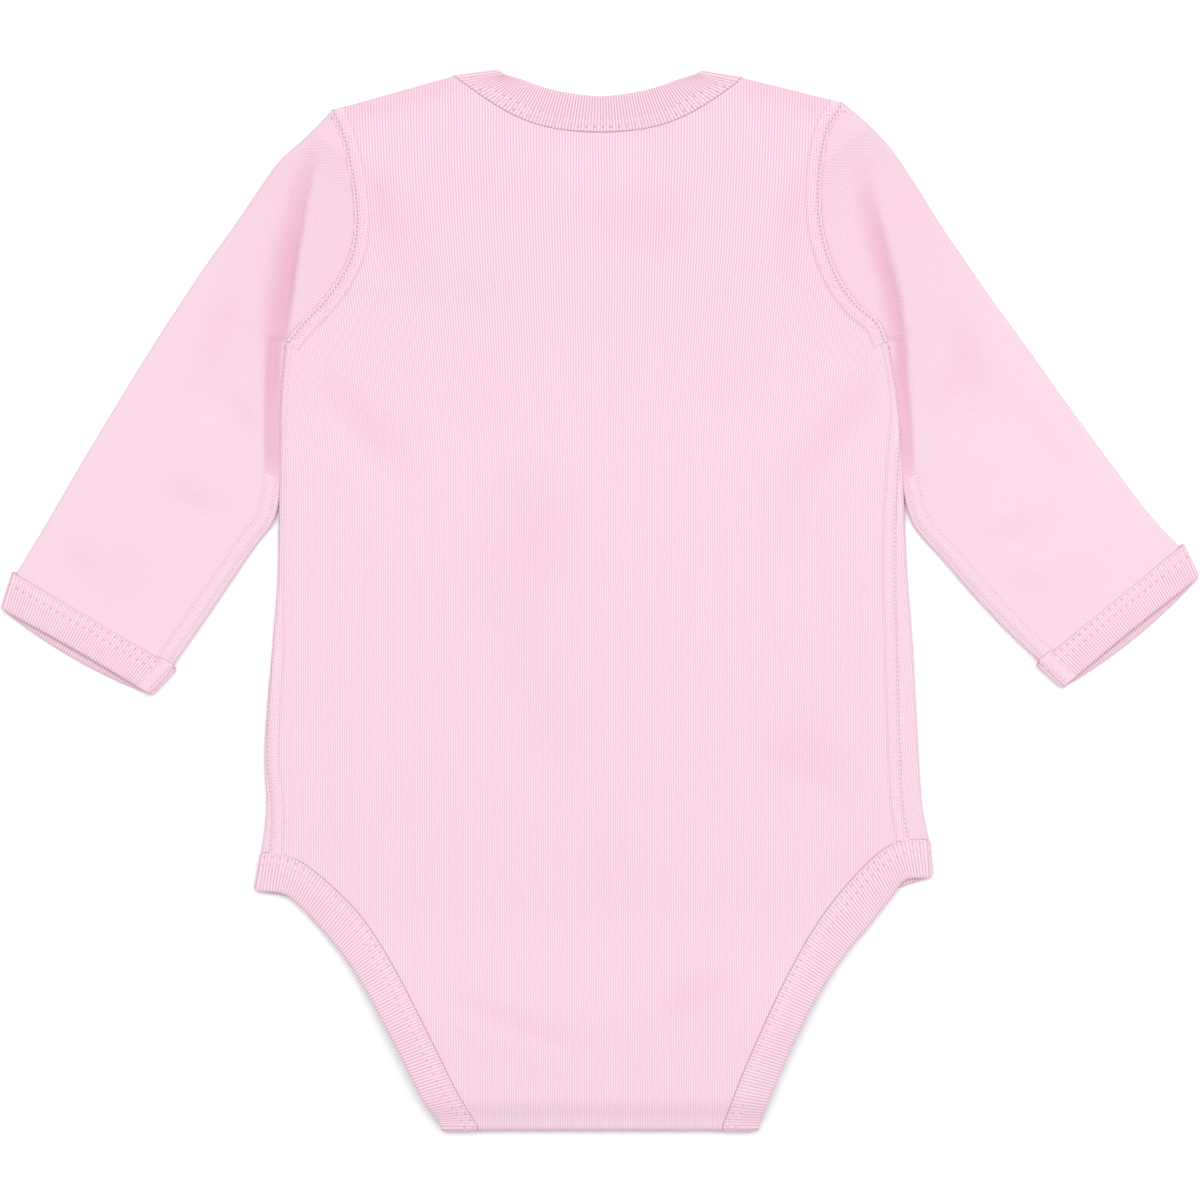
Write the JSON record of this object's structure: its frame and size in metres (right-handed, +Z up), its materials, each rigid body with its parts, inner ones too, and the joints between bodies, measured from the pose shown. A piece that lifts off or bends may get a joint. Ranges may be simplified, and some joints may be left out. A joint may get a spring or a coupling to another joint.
{
  "type": "baby onesie",
  "caption": "Long-sleeve baby bodysuit in rib cotton, laid flat with its back up, with lapped shoulders, rib bands and a fastened snap crotch.",
  "frame": {"origin": "centre of the garment's outline, on the surface it lies on", "axes": "+Z up from the surface, +Y from the crotch to the neck, +X across the garment to the right in the picture"},
  "size_m": [0.4562, 0.4044, 0.0076],
  "materials": {
    "rib_cotton": "soft matt 1x1 rib knit",
    "rib_band": "soft matt 1x1 rib knit, folded double",
    "snap": "satin enamel"
  },
  "bodies": {
    "root": {"back_panel": "rib_cotton", "front_panel": "rib_cotton", "sleeve_left": "rib_cotton", "sleeve_right": "rib_cotton", "neck_band_back": "rib_band", "neck_band_front": "rib_band", "cuff_band_left": "rib_band", "cuff_band_right": "rib_band", "leg_band_left": "rib_band", "leg_band_right": "rib_band", "snap_socket_1": "snap", "snap_socket_2": "snap", "snap_socket_3": "snap", "snap_stud_1": "snap", "snap_stud_2": "snap", "snap_stud_3": "snap"}
  },
  "joints": []
}
